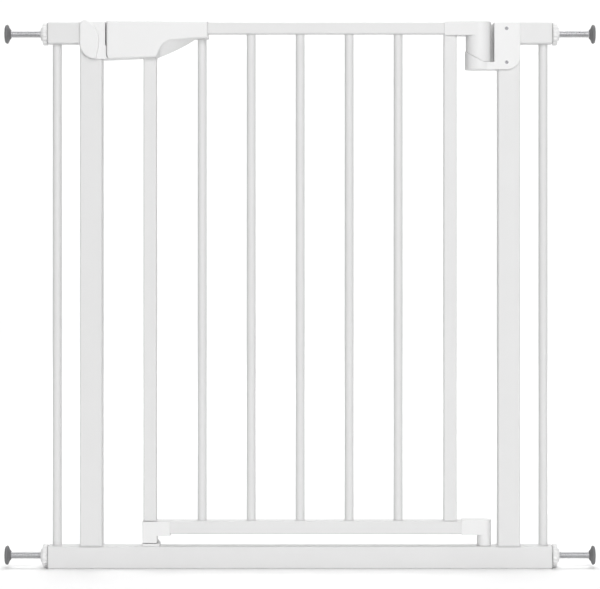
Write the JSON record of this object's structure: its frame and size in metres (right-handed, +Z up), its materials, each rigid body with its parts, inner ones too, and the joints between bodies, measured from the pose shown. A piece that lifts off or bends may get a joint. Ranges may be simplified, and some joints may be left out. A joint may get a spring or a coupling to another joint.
{
  "type": "safety baby gate",
  "caption": "White steel doorway safety gate with a hinged barred door, moulded handle and lock, rising cam hinge, and screw spindles with rubber pads that press against the walls.",
  "frame": {"origin": "middle of the underside of the bottom rail, on the floor", "axes": "+X along the gate towards the hinge side, -Y is the front (the side the door opens to), +Z up"},
  "size_m": [0.822, 0.0376, 0.763],
  "materials": {
    "painted_steel": "white powder coat, satin",
    "white_plastic": "moulded white, fine satin texture",
    "nut_plastic": "moulded white",
    "plug_plastic": "moulded mid grey",
    "latch_plastic": "moulded light grey",
    "spindle_steel": "zinc plated thread",
    "pin_steel": "plain turned",
    "screw_steel": "zinc plated",
    "pad_rubber": "dark grey, matt"
  },
  "bodies": {
    "frame": {"bottom_rail": "painted_steel", "left_post": "painted_steel", "right_post": "painted_steel", "left_top_stub": "painted_steel", "right_top_stub": "painted_steel", "left_outer_bar": "painted_steel", "right_outer_bar": "painted_steel", "end_plug_top_left": "plug_plastic", "end_plug_top_right": "plug_plastic", "end_plug_bottom_left": "plug_plastic", "end_plug_bottom_right": "plug_plastic", "latch_catch": "white_plastic", "catch_cover": "white_plastic", "catch_screws": "screw_steel", "hinge_bracket": "white_plastic", "bracket_screws": "screw_steel", "upper_hinge_pin": "pin_steel", "pivot_bush": "latch_plastic", "bottom_catch": "white_plastic", "bottom_catch_screws": "screw_steel"},
    "pivot": {"pivot_pin": "pin_steel"},
    "door": {"door_left_stile": "painted_steel", "door_right_stile": "painted_steel", "door_top_rail": "painted_steel", "door_bottom_rail": "painted_steel", "door_bar_1": "painted_steel", "door_bar_2": "painted_steel", "door_bar_3": "painted_steel", "door_bar_4": "painted_steel", "door_bar_5": "painted_steel", "hinge_barrel": "white_plastic", "hinge_elbow": "white_plastic", "bottom_shoe": "white_plastic", "handle_front_shell": "white_plastic", "handle_rear_shell": "white_plastic", "handle_screws": "screw_steel", "door_fitting_screws": "screw_steel"},
    "latch": {"latch_bolt": "latch_plastic", "thumb_slide": "latch_plastic"},
    "spindle_top_left": {"spindle_rod_top_left": "spindle_steel", "wall_pad_top_left": "pad_rubber"},
    "nut_top_left": {"adjusting_nut_top_left": "nut_plastic"},
    "spindle_top_right": {"spindle_rod_top_right": "spindle_steel", "wall_pad_top_right": "pad_rubber"},
    "nut_top_right": {"adjusting_nut_top_right": "nut_plastic"},
    "spindle_bottom_left": {"spindle_rod_bottom_left": "spindle_steel", "wall_pad_bottom_left": "pad_rubber"},
    "nut_bottom_left": {"adjusting_nut_bottom_left": "nut_plastic"},
    "spindle_bottom_right": {"spindle_rod_bottom_right": "spindle_steel", "wall_pad_bottom_right": "pad_rubber"},
    "nut_bottom_right": {"adjusting_nut_bottom_right": "nut_plastic"}
  },
  "joints": [
    {"name": "door_swing", "type": "hinge", "parent": "frame", "child": "pivot", "pos_m": [0.2512, 0, 0], "axis": [0, 0, 1], "range_deg": [0, 90]},
    {"name": "door_rise", "type": "slide", "parent": "pivot", "child": "door", "axis": [0, 0, 1], "range_m": [0, 0.01567]},
    {"name": "latch_slide", "type": "slide", "parent": "door", "child": "latch", "axis": [-1, 0, 0], "range_m": [0, 0.009]},
    {"name": "spindle_top_left_slide", "type": "slide", "parent": "frame", "child": "spindle_top_left", "axis": [-1, 0, 0], "range_m": [-0.035, 0]},
    {"name": "nut_top_left_turn", "type": "hinge", "parent": "frame", "child": "nut_top_left", "pos_m": [-0.356, 0, 0.744], "axis": [-1, 0, 0], "range_deg": [0, 8401]},
    {"name": "spindle_top_right_slide", "type": "slide", "parent": "frame", "child": "spindle_top_right", "axis": [1, 0, 0], "range_m": [-0.035, 0]},
    {"name": "nut_top_right_turn", "type": "hinge", "parent": "frame", "child": "nut_top_right", "pos_m": [0.356, 0, 0.744], "axis": [1, 0, 0], "range_deg": [0, 8401]},
    {"name": "spindle_bottom_left_slide", "type": "slide", "parent": "frame", "child": "spindle_bottom_left", "axis": [-1, 0, 0], "range_m": [-0.035, 0]},
    {"name": "nut_bottom_left_turn", "type": "hinge", "parent": "frame", "child": "nut_bottom_left", "pos_m": [-0.356, 0, 0.0175], "axis": [-1, 0, 0], "range_deg": [0, 8401]},
    {"name": "spindle_bottom_right_slide", "type": "slide", "parent": "frame", "child": "spindle_bottom_right", "axis": [1, 0, 0], "range_m": [-0.035, 0]},
    {"name": "nut_bottom_right_turn", "type": "hinge", "parent": "frame", "child": "nut_bottom_right", "pos_m": [0.356, 0, 0.0175], "axis": [1, 0, 0], "range_deg": [0, 8401]}
  ],
  "couplings": [
    {"joint": "door_rise", "follows": "door_swing", "m_per_rad": 0.00991},
    {"joint": "nut_top_left_turn", "follows": "spindle_top_left_slide", "rad_per_m": -4188.8},
    {"joint": "nut_top_right_turn", "follows": "spindle_top_right_slide", "rad_per_m": -4188.8},
    {"joint": "nut_bottom_left_turn", "follows": "spindle_bottom_left_slide", "rad_per_m": -4188.8},
    {"joint": "nut_bottom_right_turn", "follows": "spindle_bottom_right_slide", "rad_per_m": -4188.8}
  ]
}
